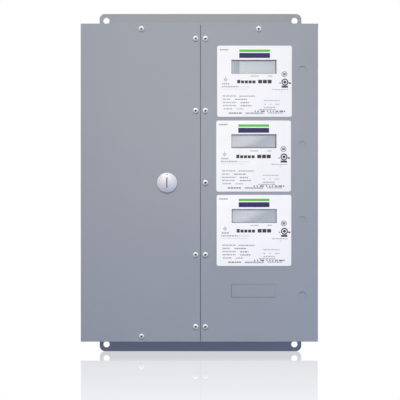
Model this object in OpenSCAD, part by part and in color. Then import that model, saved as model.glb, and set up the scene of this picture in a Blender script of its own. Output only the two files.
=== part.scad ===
// Wall-mounted steel enclosure that holds three electricity sub-meters.
// Left half: hinged door over the wiring compartment, with a slotted quarter-turn latch.
// Right half: screwed cover with three displays, printed faceplates and one blanked window.
// X to the right, Y towards the wall, Z up. Origin: centre of the four wall holes, on the wall plane.

/* [Enclosure] */
// Width of the sheet-metal body over its side walls
body_w = 352; // [340:1:380]
// Height of the body without the wall flanges
body_h = 476.2; // [470:0.1:500]
// Depth from the wall to the front face of the covers
body_d = 101.6; // [96:0.1:120]
// Sheet thickness of the body and of the meter cover
sheet_t = 1.6; // [1.2:0.1:2]
// How far the wall flange reaches past the body, top and bottom
flange_ext = 22.2; // [18:0.1:30]
// Width of the wall flange
flange_w = 311.5; // [308:0.1:330]

/* [Wall mounting] */
// Hole spacing across
wall_dx = 290.1; // [280:0.1:292]
// Hole spacing up and down
wall_dz = 499.0; // [498:0.1:500]
// Radius of each wall hole
wall_hole_r = 4.75; // [4:0.05:6]

/* [Door] */
// Sheet thickness of the door
door_t = 1.2; // [1:0.1:1.2]
// How far the door's hinge edge stands proud of the side wall
door_lap = 3.4; // [3.4:0.1:3.6]
// Gap between door and meter cover at the seam
seam_gap = 1.0; // [0.6:0.1:2]
// Length of the cranked latch cam from its axis to its tip
cam_reach = 46; // [42:1:50]
// Radius of the latch head
latch_r = 15; // [12:0.5:16]

/* [Meters] */
// Vertical pitch of the four display positions
meter_pitch = 111.9; // [111:0.1:113]
// Height of the top display above the centre
meter_top_z = 173.3; // [172:0.1:175]
// Display position across
display_x = 80.3; // [79:0.1:82]
// Clear display window width
display_w = 67.5; // [64:0.1:68]
// Clear display window height
display_h = 21; // [18:0.1:21]
// Faceplate label width
label_w = 111.7; // [100:0.1:114]
// Faceplate label height
label_h = 106.4; // [90:0.1:108]

/* [Fasteners] */
// Screw column distance from the seam
screw_col = 7.3; // [6:0.1:8]
// Vertical screw pitch on the seam
screw_pitch = 107.8; // [100:0.1:109]
// Height of the top and bottom edge screws above and below the centre
screw_edge_z = 230.1; // [229:0.1:231]
// Radius of the screw heads
screw_head_r = 4.1; // [3.5:0.1:4.5]

/* [Hidden] */
$fn = 48;
hw = body_w / 2;
hh = body_h / 2;
yf = -body_d;                 // front face of the covers
yb = -(body_d - sheet_t);     // back face of the meter cover
yw = yb + sheet_t;            // back face of the flanges behind the covers
hx = -hw - 1.8;               // hinge axis
hy = yf + 15;
hr = 1.6;                     // hinge barrel
lx = -50.2;                   // latch axis
window_dz = [0, 0.8, 0.7, 0.6];  // every faceplate is stuck on by hand
zs = [for (i = [0:3]) meter_top_z - i * meter_pitch + window_dz[i]];
label_c = [[80.75, 151.75], [79.45, 39.8], [80.05, -71.45]];
window_dx = [-0.3, -0.3, 0.1];
seam_z = [for (i = [-2:2]) i * screw_pitch];
door_seam_z = [for (i = [-2, -1, 1, 2]) i * screw_pitch];
door_x = -88.4;
cover_x = 87;
ko_x = 152.4;
ko_z = [168.8, 56.2, -56.2, -168.8];
div_x0 = 13;
div_x1 = 14.6;
grommet_z = [130, 18, -94];

// ---- helpers ----
module bx(x0, x1, y0, y1, z0, z1) translate([x0, y0, z0]) cube([x1 - x0, y1 - y0, z1 - z0]);
module cy(x, z, y0, y1, r, fn = 48) translate([x, y0, z]) rotate([-90, 0, 0]) cylinder(r = r, h = y1 - y0, $fn = fn);
module cz(x, y, z0, z1, r, fn = 48) translate([x, y, z0]) cylinder(r = r, h = z1 - z0, $fn = fn);
module cx(y, z, x0, x1, r, fn = 48) translate([x0, y, z]) rotate([0, 90, 0]) cylinder(r = r, h = x1 - x0, $fn = fn);
function arc(c, r, a0, a1, n = 6) = [for (i = [0:n]) let(a = a0 + (a1 - a0) * i / n) [c[0] + r * cos(a), c[1] + r * sin(a)]];
// plate in the XZ plane with round corners
module rplate(x, z, w, h, r, y0, y1) translate([x, y1, z]) rotate([90, 0, 0]) linear_extrude(y1 - y0) {
    square([w - 2 * r, h], center = true);
    square([w, h - 2 * r], center = true);
    for (i = [-1, 1], j = [-1, 1]) translate([i * (w / 2 - r), j * (h / 2 - r)]) circle(r = r, $fn = 32);
}
// sheet profile drawn in X,Y and extruded up Z
module xy_sheet(pts, z0, z1) translate([0, 0, z0]) linear_extrude(z1 - z0) polygon(pts);
// sheet profile drawn in Y,Z and extruded along X
module yz_sheet(pts, x0, x1) translate([x0, 0, 0]) rotate([90, 0, 90]) linear_extrude(x1 - x0) polygon(pts);
// concentric knockout grooves cut into a face; the axis is Z before placing
module knockout(rs = [11.1, 14.3], d = 0.8, w = 0.5) for (r = rs) difference() {
    translate([0, 0, -d]) cylinder(r = r, h = d + 1);
    translate([0, 0, -d - 1]) cylinder(r = r - w, h = d + 3);
}
// cross-recess pan head screw, head towards -Y, seated at y0
module pan_screw(x, z, y0, len, r = screw_head_r, s = 2.05) translate([x, y0, z]) rotate([90, 0, 0]) difference() {
    union() {
        rotate_extrude($fn = 40) polygon([[0, 0], [r, 0], [r, 0.7], [r * 0.97, 1.3], [r * 0.88, 1.9], [r * 0.7, 2.4], [r * 0.42, 2.68], [0, 2.75]]);
        translate([0, 0, -len + min(1.4, len / 2)]) cylinder(r = s, h = len - min(1.4, len / 2) + 0.2, $fn = 24);
        translate([0, 0, -len]) cylinder(r1 = s * 0.55, r2 = s, h = min(1.4, len / 2), $fn = 24);
    }
    translate([-2.3, -0.5, 1.2]) cube([4.6, 1.0, 3]);
    translate([-0.5, -2.3, 1.2]) cube([1.0, 4.6, 3]);
}
// flat clip nut with an extruded collar behind a sheet
module clip_nut(x, z, y0, dx = 0, dz = 0) difference() {
    union() {
        bx(x + dx - 5.2, x + dx + 5.2, y0, y0 + 0.9, z + dz - 8, z + dz + 8);
        cy(x, z, y0 + 0.5, y0 + 3.4, 3.4, 24);
    }
    cy(x, z, y0 - 1, y0 + 5, 2.25, 24);
}
// smooth route through hand-placed points, and a tube swept along it
function cr(p0, p1, p2, p3, t) = 0.5 * (2 * p1 + (p2 - p0) * t + (2 * p0 - 5 * p1 + 4 * p2 - p3) * t * t + (3 * p1 - p0 - 3 * p2 + p3) * t * t * t);
function route(p, n = 5) = let(m = len(p) - 1) concat([for (i = [0:m - 1], k = [0:n - 1])
    cr(p[max(i - 1, 0)], p[i], p[i + 1], p[min(i + 2, m)], k / n)], [p[m]]);
function unit(v) = v / norm(v);
function tang(q, i) = unit(q[min(i + 1, len(q) - 1)] - q[max(i - 1, 0)]);
function carry(u, t) = unit(u - (u * t) * t);
function frames(q, i, u) = let(w = carry(u, tang(q, i))) i == len(q) - 1 ? [w] : concat([w], frames(q, i + 1, w));
module tube(p, r, up = [0, 0, 1], n = 5, sides = 8) {
    q = route(p, n);
    f = frames(q, 0, up);
    m = len(q);
    pts = [for (i = [0:m - 1], k = [0:sides - 1]) let(t = tang(q, i), u = f[i], v = cross(t, u), a = 360 * k / sides) q[i] + r * (cos(a) * u + sin(a) * v)];
    faces = concat([[for (k = [sides - 1:-1:0]) k]], [[for (k = [0:sides - 1]) (m - 1) * sides + k]],
        [for (i = [0:m - 2], k = [0:sides - 1]) let(a = i * sides + k, b = i * sides + (k + 1) % sides) [a, b, b + sides]],
        [for (i = [0:m - 2], k = [0:sides - 1]) let(a = i * sides + k, b = i * sides + (k + 1) % sides) [a, b + sides, a + sides]]);
    polyhedron(points = pts, faces = [for (g = faces) [for (k = [len(g) - 1:-1:0]) g[k]]]);
}

// ---- sheet-metal body ----
module back_pan() color([0.63, 0.65, 0.68]) difference() {
    union() {
        xy_sheet(concat([[-hw + 14, yb]], arc([-hw + 2.6, yb + 2.6], 2.6, 270, 180), arc([-hw + 2.6, -2.6], 2.6, 180, 90),
            arc([hw - 2.6, -2.6], 2.6, 90, 0), [[hw, yb], [hw - sheet_t, yb]], arc([hw - sheet_t - 1, -sheet_t - 1], 1, 0, 90),
            arc([-hw + sheet_t + 1, -sheet_t - 1], 1, 90, 180), arc([-hw + sheet_t + 1, yw + 1], 1, 180, 270), [[-hw + 14, yw]]), -hh, hh);
        rplate(0, 0, flange_w, body_h + 2 * flange_ext, 8.5, -sheet_t, 0);
    }
    for (i = [-1, 1], j = [-1, 1]) cy(i * wall_dx / 2, j * wall_dz / 2, -3, 1, wall_hole_r, 48);
    for (z = [-165, 165]) {
        translate([-hw, -50, z]) rotate([0, -90, 0]) knockout();
        translate([hw, -50, z]) rotate([0, 90, 0]) knockout();
    }
    for (z = [-130]) translate([-95, 0, z]) rotate([-90, 0, 0]) knockout([11.1, 14.3, 17.5]);
}
module end_wall() {
    t = sheet_t;
    difference() {
        yz_sheet(concat([[yb, hh - 17.5]], arc([yb + 2.4, hh - 2.4], 2.4, 180, 90), [[-t - 0.1, hh], [-t - 0.1, hh - 13], [-2 * t - 0.1, hh - 13]],
            arc([-2 * t - 1.1, hh - t - 1], 1, 0, 90), arc([yb + t + 1, hh - t - 1], 1, 90, 180), [[yb + t, hh - 17.5]]), -hw + t + 0.1, hw - t - 0.1);
        bx(-hw - 1, -hw + 14.3, yb - 1, yw + 0.1, hh - 30, hh + 1);
        for (s = [-1, 1]) translate([s * (hw - t - 0.1), 0, 0]) bx(-1.2, 1.2, -4, 1, hh - 30, hh + 1);
        bx(-16.3, div_x1 + 0.3, yb - 1, yw + 0.3, hh - 30, hh - t - 0.3);
        bx(-16.3, div_x1 + 0.3, yb - 1, yw + 0.3, hh - t - 1.2, hh - 0.5);
        for (x = [-135, -90, -45, 60, 120]) translate([x, -50, hh]) knockout(x == -90 ? [11.1, 14.3, 17.5] : [11.1, 14.3]);
        cy(door_x, screw_edge_z, yb - 1, yw + 1, 2.6, 24);
    }
}
module top_end_wall() color([0.63, 0.65, 0.68]) difference() {
    end_wall();
    cy(cover_x, screw_edge_z, yb - 1, yw + 1, 2.6, 24);
}
module bottom_end_wall() color([0.63, 0.65, 0.68]) difference() {
    mirror([0, 0, 1]) end_wall();
    for (x = [55, 120]) bx(x - 11, x + 11, yb - 1, yw + 1, -229.4, -225.6);
}
module divider_mullion() color([0.60, 0.62, 0.66]) difference() {
    union() {
        xy_sheet(concat([[-16, yb]], arc([div_x1 - 2.4, yb + 2.4], 2.4, 270, 360), [[div_x1, -2 * sheet_t], [27, -2 * sheet_t], [27, -sheet_t], [div_x0, -sheet_t]],
            arc([div_x0 - 1, yw + 1], 1, 0, -90), [[-16, yw]]), -hh + sheet_t + 0.2, hh - sheet_t - 0.2);
    }
    for (s = [-1, 1]) bx(10, 30, -5.2, 0, s > 0 ? hh - 15 : -hh - 1, s > 0 ? hh + 1 : -hh + 15);
    for (z = door_seam_z) cy(-screw_col, z, yb - 1, yw + 1, 2.6, 24);
    for (z = seam_z) cy(screw_col, z, yb - 1, yw + 1, 2.6, 24);
    for (z = grommet_z) cx(-52, z, div_x0 - 1, div_x1 + 1, 8, 36);
}

// ---- meter cover and what is on it ----
module meter_cover() color([0.63, 0.65, 0.68]) difference() {
    union() {
        xy_sheet(concat([[seam_gap / 2, yb], [seam_gap / 2, yf]], arc([hw - 1.6, yf + 1.6], 1.6, 270, 360), [[hw, yb], [hw - 1.8, yb], [hw - 1.8, yb + 11], [hw - 3.4, yb + 11]],
            [[hw - 3.4, yb]]), -hh, hh);
        for (x = [55, 120]) {
            bx(x - 10, x + 10, yb - 0.2, yb + 4.6, -228.4, -226.8);
            bx(x - 10, x + 10, yb + 3, yb + 4.6, -234, -226.8);
        }
    }
    bx(hw - 3.6, hw + 1, yb, yb + 12, hh - 19, hh + 1);
    bx(hw - 3.6, hw + 1, yb, yb + 12, -hh - 1, -hh + 19);
    for (i = [0:2]) rplate(display_x, zs[i], display_w + 2.2, display_h + 2.2, 1, yf - 1, yb + 1);
    rplate(display_x - 0.8, zs[3], display_w - 0.7, display_h - 1, 0.8, yf - 1, yb + 1);
    for (z = seam_z) cy(screw_col, z, yf - 1, yb + 1, 2.3, 24);
    cy(cover_x, screw_edge_z, yf - 1, yb + 1, 2.3, 24);
    for (z = ko_z) cy(ko_x, z, yf - 1, yf + 1.1, 5.7, 40);
}
module blank_window_plate() color([0.61, 0.64, 0.68]) union() {
    rplate(display_x - 0.5, zs[3] + 0.18, display_w - 1.4, display_h - 1.7, 0.6, yf + 0.35, yb + 0.4);
    rplate(display_x, zs[3], display_w + 8, display_h + 8, 2, yb, yb + 1.2);
}
module meter_cover_screws() color([0.80, 0.80, 0.78]) {
    for (z = seam_z) pan_screw(screw_col, z, yf, 8.4);
    pan_screw(cover_x, screw_edge_z, yf, 8.4);
}
module cover_clip_nuts() color([0.45, 0.45, 0.42]) {
    for (z = seam_z) clip_nut(screw_col, z, yw, -0.7);
    clip_nut(cover_x, screw_edge_z, yw, 0, -2.9);
}
module door_clip_nuts() color([0.45, 0.45, 0.42]) {
    for (z = door_seam_z) clip_nut(-screw_col, z, yw);
    for (s = [-1, 1]) difference() {
        union() {
            bx(door_x - 8, door_x + 8, yw, yw + 0.9, s * screw_edge_z - 5.6, s * screw_edge_z + 5.6);
            cy(door_x, s * screw_edge_z, yw + 0.5, yw + 3.4, 3.4, 24);
        }
        cy(door_x, s * screw_edge_z, yw - 1, yw + 5, 2.25, 24);
    }
}
module faceplate(i) color([0.96, 0.96, 0.97]) difference() {
    rplate(label_c[i][0], label_c[i][1], label_w, label_h, 3, yf - 0.4, yf);
    rplate(display_x + window_dx[i], zs[i], display_w, display_h, 0.6, yf - 1, yf + 1);
}
module faceplate_label_1() faceplate(0);
module faceplate_label_2() faceplate(1);
module faceplate_label_3() faceplate(2);
module lens(i) color([0.85, 0.88, 0.90]) union() {
    rplate(display_x, zs[i], display_w + 10, display_h + 10, 1.5, yb, yb + 0.7);
    rplate(display_x, zs[i], display_w + 1.6, display_h + 1.6, 0.7, yf + 0.2, yb + 0.3);
}
module display_lens_1() lens(0);
module display_lens_2() lens(1);
module display_lens_3() lens(2);
module lcd_bezels() color([0.10, 0.11, 0.12]) for (i = [0:2]) difference() {
    rplate(display_x + window_dx[i] / 2, zs[i], display_w + 6, display_h + 7, 1, yb + 0.8, yb + 7.5);
    rplate(display_x + window_dx[i] / 2, zs[i], display_w - 0.6, display_h - 0.6, 0.5, yb + 0.5, yb + 3.2);
    bx(display_x + window_dx[i] / 2 - 35.5, display_x + window_dx[i] / 2 + 35.5, yb + 1.3, yb + 4.6, zs[i] - 12, zs[i] + 12);
}
module lcd_glass(i) color([0.78, 0.80, 0.82]) bx(display_x + window_dx[i] / 2 - 35.3, display_x + window_dx[i] / 2 + 35.3, yb + 1.4, yb + 4.4, zs[i] - 11.8, zs[i] + 11.8);
module lcd_glass_1() lcd_glass(0);
module lcd_glass_2() lcd_glass(1);
module lcd_glass_3() lcd_glass(2);
module lcd_boards() color([0.10, 0.35, 0.22]) for (i = [0:2]) difference() {
    rplate(display_x, zs[i], 80, 36, 1, yb + 7.6, yb + 9.2);
    for (a = [-1, 1], b = [-1, 1]) cy(display_x + a * 37.5, zs[i] + b * 15.5, yb + 7, yb + 10, 1.3, 20);
}

// ---- meter electronics behind the cover ----
module meter_chassis() color([0.72, 0.73, 0.74]) difference() {
    xy_sheet([[29, -66], [164, -66], [164, -3.1], [171, -3.1], [171, -1.6], [162.5, -1.6], [162.5, -64.5], [32.5, -64.5], [32.5, -3.1], [40, -3.1], [40, -1.6], [31, -1.6], [31, -64.5], [29, -64.5]], -218, 218);
    for (i = [0:2], a = [-1, 1], b = [-1, 1]) cy(86 + a * 47, zs[i] - 22 + b * 40, -70, -60, 1.7, 20);
    for (z = [grommet_z[0], grommet_z[1], grommet_z[2]]) bx(24, 34, -62, -42, z - 12, z + 12);
    bx(50, 140, -70, -60, -205, -125);
}
module board_standoffs() color([0.75, 0.72, 0.55]) for (i = [0:2], a = [-1, 1], b = [-1, 1]) difference() {
    cy(86 + a * 47, zs[i] - 22 + b * 40, -78, -66, 3, 6);
    cy(86 + a * 47, zs[i] - 22 + b * 40, -80, -60, 1.55, 20);
}
module meter_board(i) color([0.08, 0.32, 0.18]) difference() {
    rplate(86, zs[i] - 22, 104, 92, 2, -79.6, -78);
    for (a = [-1, 1], b = [-1, 1]) cy(86 + a * 47, zs[i] - 22 + b * 40, -82, -76, 1.7, 20);
}
module meter_board_1() meter_board(0);
module meter_board_2() meter_board(1);
module meter_board_3() meter_board(2);
module board_screws() color([0.78, 0.78, 0.76]) for (i = [0:2], a = [-1, 1], b = [-1, 1]) difference() {
    union() {
        cy(86 + a * 47, zs[i] - 22 + b * 40, -81.6, -79.6, 2.8, 24);
        cy(86 + a * 47, zs[i] - 22 + b * 40, -80, -70, 1.5, 20);
    }
    bx(86 + a * 47 - 1.8, 86 + a * 47 + 1.8, -83, -80.6, zs[i] - 22 + b * 40 - 0.35, zs[i] - 22 + b * 40 + 0.35);
}
module power_transformers() color([0.12, 0.12, 0.13]) for (i = [0:2]) rplate(120, zs[i] - 44, 26, 30, 1, -95.6, -79.6);
module board_capacitors() color([0.10, 0.12, 0.25]) for (i = [0:2], k = [0:2]) cy(64 + k * 13, zs[i] - 50, -91, -79.6, 4.8, 32);
module board_chips() color([0.13, 0.13, 0.14]) for (i = [0:2]) {
    bx(62, 76, -81.8, -79.6, zs[i] - 37, zs[i] - 23);
    bx(84, 100, -81.6, -79.6, zs[i] - 34, zs[i] - 26);
}
module plug_terminals() color([0.15, 0.55, 0.25]) for (i = [0:2]) difference() {
    bx(38, 50, -92, -79.6, zs[i] - 58, zs[i] - 18);
    for (k = [0:5]) cx(-84, zs[i] - 55 + k * 6.8, 36, 46, 1.7, 16);
    for (k = [0:5]) cy(44.5, zs[i] - 55 + k * 6.8, -94, -88, 2, 16);
}
module meter_cables() color([0.22, 0.23, 0.25]) {
    tube([[37.6, -86, 135.3], [33, -84, 134.5], [26, -72, 132], [20, -58, 130.5], [14, -52, 130], [2, -51, 128], [-5, -46, 112], [-6, -30, 84], [-6, -16, 40], [-8, -14, -4], [-14, -20, -24.5], [-20, -26, -30]], 3.2, [0, 1, 0], 4);
    tube([[37.6, -86, 23.4], [33, -84, 22.6], [26, -72, 20], [20, -58, 18.5], [14, -52, 18], [4, -50, 16], [2.5, -42, 2], [2, -32, -14], [0, -27, -28], [-6, -26, -36], [-20, -26, -38.5]], 3.2, [0, 1, 0], 4);
    tube([[37.6, -86, -88.5], [33, -84, -89.4], [26, -72, -92], [20, -58, -93.5], [14, -52, -94], [5, -50, -92], [1.5, -44, -80], [0, -34, -62], [-4, -28, -50], [-20, -26, -47]], 3.2, [0, 1, 0], 4);
}
module divider_grommets() color([0.08, 0.08, 0.08]) for (z = grommet_z) difference() {
    union() {
        cx(-52, z, div_x0 - 1.6, div_x0, 10.5, 36);
        cx(-52, z, div_x0 - 0.2, div_x1 + 0.2, 7.95, 36);
        cx(-52, z, div_x1, div_x1 + 1.6, 10.5, 36);
    }
    cx(-52, z, div_x0 - 5, div_x1 + 5, 5.2, 36);
}

// ---- wiring compartment ----
rail_z = 150;
module din_rail() color([0.80, 0.80, 0.76]) difference() {
    yz_sheet([[-1.6, rail_z - 13.5], [-8.2, rail_z - 13.5], [-8.2, rail_z - 17.5], [-9.2, rail_z - 17.5], [-9.2, rail_z - 12.5], [-2.7, rail_z - 12.5],
        [-2.7, rail_z + 12.5], [-9.2, rail_z + 12.5], [-9.2, rail_z + 17.5], [-8.2, rail_z + 17.5], [-8.2, rail_z + 13.5], [-1.6, rail_z + 13.5]], -160, -18);
    for (x = [-148, -30]) cy(x, rail_z, -5, 0, 2.6, 24);
}
module din_rail_screws() color([0.78, 0.78, 0.76]) for (x = [-148, -30]) pan_screw(x, rail_z, -2.7, 1.1, 4.1, 2.0);
module din_block(x, w) difference() {
    yz_sheet([[-9.4, rail_z - 18.5], [-9.4, rail_z + 18.5], [-12, rail_z + 21], [-27, rail_z + 24], [-36, rail_z + 24], [-41, rail_z + 19], [-41, rail_z + 10],
        [-49, rail_z + 8], [-49, rail_z - 8], [-41, rail_z - 10], [-41, rail_z - 19], [-36, rail_z - 24], [-27, rail_z - 24], [-12, rail_z - 21]], x - w / 2, x + w / 2);
    for (s = [-1, 1]) {
        cy(x, rail_z + s * 14.5, -42, -33, w * 0.28, 20);
        cz(x, -31, s > 0 ? rail_z + 12 : rail_z - 25, s > 0 ? rail_z + 25 : rail_z - 12, w * 0.26, 20);
    }
}
module line_terminals() color([0.68, 0.69, 0.70]) for (k = [0:2]) din_block(-132 + k * 10.4, 10.2);
module neutral_terminal() color([0.25, 0.45, 0.75]) din_block(-100.8, 10.2);
module earth_terminal() color([0.35, 0.65, 0.25]) din_block(-90.4, 10.2);
module terminal_clamp_screws() color([0.80, 0.78, 0.70]) for (k = [0:4], s = [-1, 1]) difference() {
    cy(-132 + k * 10.4, rail_z + s * 14.5, -37, -33, 2.4, 20);
    bx(-132 + k * 10.4 - 3, -132 + k * 10.4 + 3, -38, -36.2, rail_z + s * 14.5 - 0.4, rail_z + s * 14.5 + 0.4);
}
fz = 64;
module fuse_block() color([0.14, 0.14, 0.15]) difference() {
    rplate(-112, fz, 84, 64, 2, -15, -1.6);
    for (k = [0:2]) bx(-140 + k * 28 - 10.5, -140 + k * 28 + 10.5, -16, -11, fz - 29, fz + 29);
    for (k = [0, 1]) cy(-126 + k * 28, fz, -16, 0, 2.2, 24);
}
module fuse_clips() color([0.85, 0.80, 0.62]) for (k = [0:2], s = [-1, 1]) {
    x = -140 + k * 28;
    z = fz + s * 14;
    difference() {
        bx(x - 6.6, x + 6.6, -27, -11, z - 5, z + 5);
        bx(x - 5.6, x + 5.6, -30, -12, z - 6, z + 6);
    }
    difference() {
        bx(x - 5, x + 5, -12, -11, s > 0 ? z + 5 : z - 14, s > 0 ? z + 14 : z - 5);
        cy(x, z + s * 9.5, -13, -10, 1.9, 20);
    }
}
module fuses() for (k = [0:2]) {
    x = -140 + k * 28;
    color([0.88, 0.86, 0.80]) cz(x, -18.4, fz - 9, fz + 9, 5.0, 32);
    color([0.80, 0.80, 0.78]) for (s = [-1, 1]) cz(x, -18.4, s > 0 ? fz + 9 : fz - 19, s > 0 ? fz + 19 : fz - 9, 5.15, 32);
}
tz = -40;
module ct_terminal_strip() color([0.10, 0.10, 0.11]) difference() {
    bx(-168, -22, -19, -1.6, tz - 15, tz + 15);
    for (k = [0:11]) bx(-166 + k * 12 - 0.2, -166 + k * 12 + 9.8, -20, -12, tz - 16, tz - 1.2);
    for (k = [0:11]) bx(-166 + k * 12 - 0.2, -166 + k * 12 + 9.8, -20, -12, tz + 1.2, tz + 16);
}
module ct_strip_screws() color([0.80, 0.79, 0.74]) for (k = [0:11], s = [-1, 1]) difference() {
    union() {
        bx(-166 + k * 12 + 0.6, -166 + k * 12 + 9, -13, -12, tz + s * 7.8 - 5, tz + s * 7.8 + 5);
        cy(-161.2 + k * 12, tz + s * 7.8, -15.2, -12.9, 3.3, 24);
    }
    bx(-161.2 + k * 12 - 4, -161.2 + k * 12 + 4, -16, -14.3, tz + s * 7.8 - 0.45, tz + s * 7.8 + 0.45);
}
module line_wires() color([0.15, 0.15, 0.16]) {
    for (k = [0:2]) {
        x0 = -132 + k * 10.4;
        x1 = -140 + k * 28;
        tube([[x0, -31, 137.5], [x0, -31, 127], [x0 + (x1 - x0) * 0.3, -30, 117], [x1 - (x1 - x0) * 0.2, -23, 105], [x1, -18.4, 98], [x1, -17.4, 94], [x1, -14.6, 89.4], [x1, -13.8, 84.6]], 1.6, [0, 1, 0], 4);
    }
    tube([[-100.8, -31, 137.5], [-100.8, -31, 127], [-92, -34, 116], [-70, -36, 108], [-46, -32, 92], [-40, -22, 60], [-40, -14, 10], [-36, -15, -14], [-29.2, -16.4, -27]], 1.6, [0, 1, 0], 4);
}
gz = -196;
module ground_bar() color([0.82, 0.70, 0.42]) difference() {
    union() {
        bx(-160, -70, -22, -12, gz - 5, gz + 5);
        for (x = [-154, -76]) cy(x, gz, -12.5, -1.6, 4, 24);
    }
    for (k = [0:6]) cz(-142 + k * 9, -16.5, gz - 6, gz + 6, 2.2, 20);
}
module ground_bar_screws() color([0.35, 0.60, 0.30]) {
    for (k = [0:6]) difference() {
        cy(-142 + k * 9, gz, -25, -22, 3.2, 24);
        bx(-142 + k * 9 - 4, -142 + k * 9 + 4, -26, -24, gz - 0.45, gz + 0.45);
    }
    for (x = [-154, -76]) difference() {
        cy(x, gz, -24.6, -22, 3.8, 6);
        cy(x, gz, -26, -23.2, 2, 20);
    }
}
module ground_stud() color([0.80, 0.78, 0.70]) union() {
    cy(-34, gz, -22, -1.6, 2.9, 24);
    cy(-34, gz, -6.8, -1.6, 5.8, 6);
    cy(-34, gz, -8, -6.8, 6.6, 32);
    cy(-34, gz, -13, -8, 5.8, 6);
}

// ---- piano hinge ----
knuckle_n = 18;
kp = (body_h - 4) / knuckle_n;
module knuckles(par) for (k = [par:2:knuckle_n - 1]) cz(hx, hy, -hh + 2 + k * kp + 0.2, -hh + 2 + (k + 1) * kp - 0.2, hr, 24);
module hinge_body_leaf() color([0.72, 0.72, 0.70]) difference() {
    union() {
        bx(-hw - 0.95, -hw, hy + 2, hy + 16, -hh + 2, hh - 2);
        for (k = [0:2:knuckle_n - 1]) bx(-hw - 0.95, -hw, hy, hy + 3, -hh + 2 + k * kp + 0.2, -hh + 2 + (k + 1) * kp - 0.2);
        knuckles(0);
    }
    cz(hx, hy, -hh, hh, 0.86, 24);
}
module hinge_pin() color([0.75, 0.75, 0.74]) cz(hx, hy, -hh + 1.4, hh - 1.4, 0.8, 24);
module hinge_door_leaf() color([0.72, 0.72, 0.70]) difference() {
    union() {
        bx(-hw - door_lap + door_t, -hw - door_lap + door_t + 0.75, yf + 2.6, hy - 2, -hh + 2, hh - 2);
        for (k = [1:2:knuckle_n - 1]) bx(-hw - door_lap + door_t, -hw - door_lap + door_t + 0.75, hy - 3, hy - 0.9, -hh + 2 + k * kp + 0.2, -hh + 2 + (k + 1) * kp - 0.2);
        knuckles(1);
    }
    cz(hx, hy, -hh, hh, 0.86, 24);
}

// ---- door ----
module door_panel() color([0.63, 0.65, 0.68]) difference() {
    xy_sheet(concat([[-seam_gap / 2, yf]], arc([-hw - door_lap + 1.8, yf + 1.8], 1.8, 270, 180), [[-hw - door_lap, hy - 2.1], [-hw - door_lap + door_t, hy - 2.1]],
        arc([-hw - door_lap + door_t + 0.6, yf + door_t + 0.6], 0.6, 180, 270), [[-seam_gap / 2, yf + door_t]]), -hh, hh);
    for (z = door_seam_z) cy(-screw_col, z, yf - 1, yf + 3, 2.2, 24);
    for (s = [-1, 1]) cy(door_x, s * screw_edge_z, yf - 1, yf + 3, 2.2, 24);
    cy(lx, 0, yf - 1, yf + 3, 9.5, 48);
}
module door_stiffener() color([0.60, 0.62, 0.66]) xy_sheet([[-150, yf + door_t], [-138, yf + door_t], [-134, yf + door_t + 8], [-118, yf + door_t + 8], [-114, yf + door_t], [-102, yf + door_t],
    [-102, yf + door_t + 1.2], [-113.2, yf + door_t + 1.2], [-117.2, yf + door_t + 9.2], [-134.8, yf + door_t + 9.2], [-138.8, yf + door_t + 1.2], [-150, yf + door_t + 1.2]], -205, 205);
module door_captive_screws() color([0.80, 0.80, 0.78]) {
    for (z = door_seam_z) pan_screw(-screw_col, z, yf, 8.4);
    for (s = [-1, 1]) pan_screw(door_x, s * screw_edge_z, yf, 8.4);
}
module wiring_label() color([0.95, 0.95, 0.93]) rplate(-58, 132, 74, 118, 2, yf + door_t, yf + door_t + 0.25);

// ---- quarter-turn latch ----
module latch_bushing() color([0.70, 0.70, 0.72]) difference() {
    union() {
        cy(lx, 0, yf - 1, yf, 13.4, 48);
        cy(lx, 0, yf - 0.5, yf + 11.2, 9.4, 48);
    }
    cy(lx, 0, yf - 3, yf + 14, 6.07, 48);
}
module latch_nut() color([0.70, 0.70, 0.68]) difference() {
    cy(lx, 0, yf + door_t, yf + door_t + 4.5, 13.6, 6);
    cy(lx, 0, yf - 1, yf + 10, 9.42, 48);
}
module latch_head() color([0.82, 0.82, 0.85]) difference() {
    union() {
        intersection() {
            cy(lx, 0, yf - 8, yf - 1.3, latch_r, 64);
            translate([lx, yf - 6.4 + 26.5, 0]) sphere(r = 26.5, $fn = 96);
        }
        cy(lx, 0, yf - 1.5, yf + 11.4, 6, 48);
        bx(lx - 4, lx + 4, yf + 11, yf + 14, -4, 4);
    }
    bx(lx - 1.15, lx + 1.15, yf - 9, yf - 4.2, -8.2, 8.2);
    cy(lx, 12.1, yf - 8, yf - 3.4, 0.8, 20);
    cy(lx, 0, yf + 3, yf + 20, 2.15, 24);
}
module latch_cam() color([0.72, 0.71, 0.66]) difference() {
    union() {
        yz_sheet([[yf + 11.7, 0], [yf + 11.7, 22.5], [yf + 4.7, 29.5], [yf + 4.7, cam_reach], [yf + 7.2, cam_reach], [yf + 7.2, 30.5], [yf + 14.2, 23.5], [yf + 14.2, 0]], lx - 8, lx + 8);
        cy(lx, 0, yf + 11.7, yf + 14.2, 10, 40);
    }
    bx(lx - 4.05, lx + 4.05, yf + 11, yf + 15, -4.05, 4.05);
}
module cam_washer() color([0.78, 0.78, 0.76]) difference() {
    cy(lx, 0, yf + 14.2, yf + 15.4, 7.5, 32);
    cy(lx, 0, yf + 13, yf + 17, 2.7, 24);
}
module cam_screw() color([0.78, 0.78, 0.76]) union() {
    cy(lx, 0, yf + 15.4, yf + 19, 4.6, 6);
    cy(lx, 0, yf + 5, yf + 15.6, 2.1, 24);
}

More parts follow.
